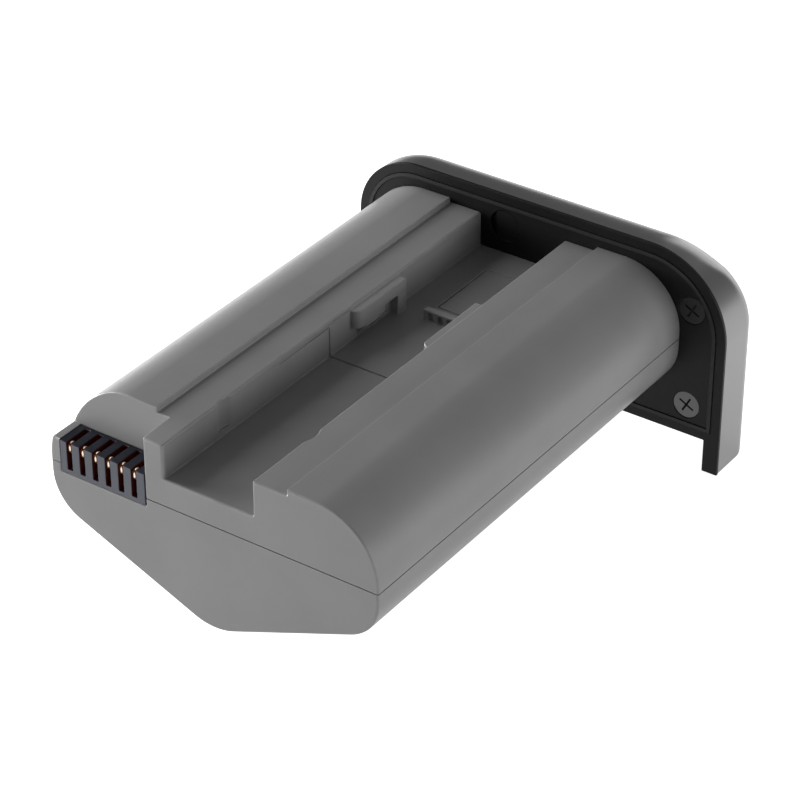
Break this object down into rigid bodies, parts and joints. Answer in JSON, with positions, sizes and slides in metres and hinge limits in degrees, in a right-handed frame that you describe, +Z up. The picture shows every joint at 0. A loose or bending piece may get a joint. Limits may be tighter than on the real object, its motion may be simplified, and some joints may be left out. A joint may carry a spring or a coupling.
{
  "type": "camera battery",
  "caption": "Long battery pack with cell lobes, a guide channel, contacts at one end and a sealed end cover with a folding lock handle.",
  "frame": {"origin": "middle of the case's width, on the plane where the cover's rim meets the camera, at the height of the case's parting line", "axes": "+X across the pack to the cover's wide side, +Y from the contact end to the end cover, +Z up from the keel to the channel"},
  "size_m": [0.0679, 0.0928, 0.0373],
  "materials": {
    "case": "satin grey moulded plastic",
    "contact_block": "satin slate moulded plastic",
    "contacts": "gold-plated spring contacts",
    "cell_wrap": "shrink sleeve over a steel can",
    "holder": "black moulded spacer",
    "nickel": "welded nickel strip",
    "lead": "insulated wire",
    "insulator": "card sheet",
    "foam": "foam pad",
    "board": "lacquered board",
    "chips": "moulded parts",
    "plate": "black moulded plastic",
    "seal": "soft black sealing rubber",
    "shell": "satin grey painted plastic",
    "screws": "blackened and plain steel",
    "key": "black moulded plastic",
    "lock_metal": "plain steel",
    "knob": "black moulded plastic",
    "handle": "black moulded plastic"
  },
  "bodies": {
    "pack": {"upper_case": "case", "lower_case": "case", "contact_block": "contact_block", "contact_1": "contacts", "contact_2": "contacts", "contact_3": "contacts", "contact_4": "contacts", "contact_5": "contacts", "contact_6": "contacts", "cell_left": "cell_wrap", "cell_right": "cell_wrap", "cell_keel": "cell_wrap", "holder_front": "holder", "holder_rear": "holder", "strip_plus": "nickel", "strip_front": "nickel", "strip_rear": "nickel", "strip_minus": "nickel", "lead_minus": "lead", "insulator_front": "insulator", "pad_rear": "foam", "circuit_board": "board", "board_parts": "chips", "cover_plate": "plate", "cover_seal": "seal", "cover_shell": "shell", "cover_screws": "screws", "case_screws": "screws"},
    "knob": {"lock_knob": "knob", "knob_ring": "seal", "knob_washer": "lock_metal", "knob_crank": "lock_metal", "crank_screw": "lock_metal", "handle_pin": "lock_metal"},
    "key": {"lock_key": "key", "key_arm": "lock_metal", "key_clip": "lock_metal", "key_ring": "seal"},
    "link": {"lock_link": "lock_metal"},
    "handle": {"handle": "handle"}
  },
  "joints": [
    {"name": "knob_turn", "type": "hinge", "parent": "pack", "child": "knob", "pos_m": [0.003, 0.0068, -0.002], "axis": [0, 1, 0], "range_deg": [0, 90]},
    {"name": "key_turn", "type": "hinge", "parent": "pack", "child": "key", "pos_m": [-0.0033, 0, 0.0094], "axis": [0, 1, 0], "range_deg": [0, 90]},
    {"name": "link_turn", "type": "hinge", "parent": "knob", "child": "link", "pos_m": [0.00176, 0.00285, -0.00632], "axis": [0, 1, 0], "range_deg": [-90, 0]},
    {"name": "handle_flip", "type": "hinge", "parent": "knob", "child": "handle", "pos_m": [0.003, 0.0117, -0.002], "axis": [1, 0, 0], "range_deg": [0, 90]}
  ],
  "couplings": [
    {"joint": "key_turn", "follows": "knob_turn", "ratio": 1},
    {"joint": "link_turn", "follows": "knob_turn", "ratio": -1}
  ]
}
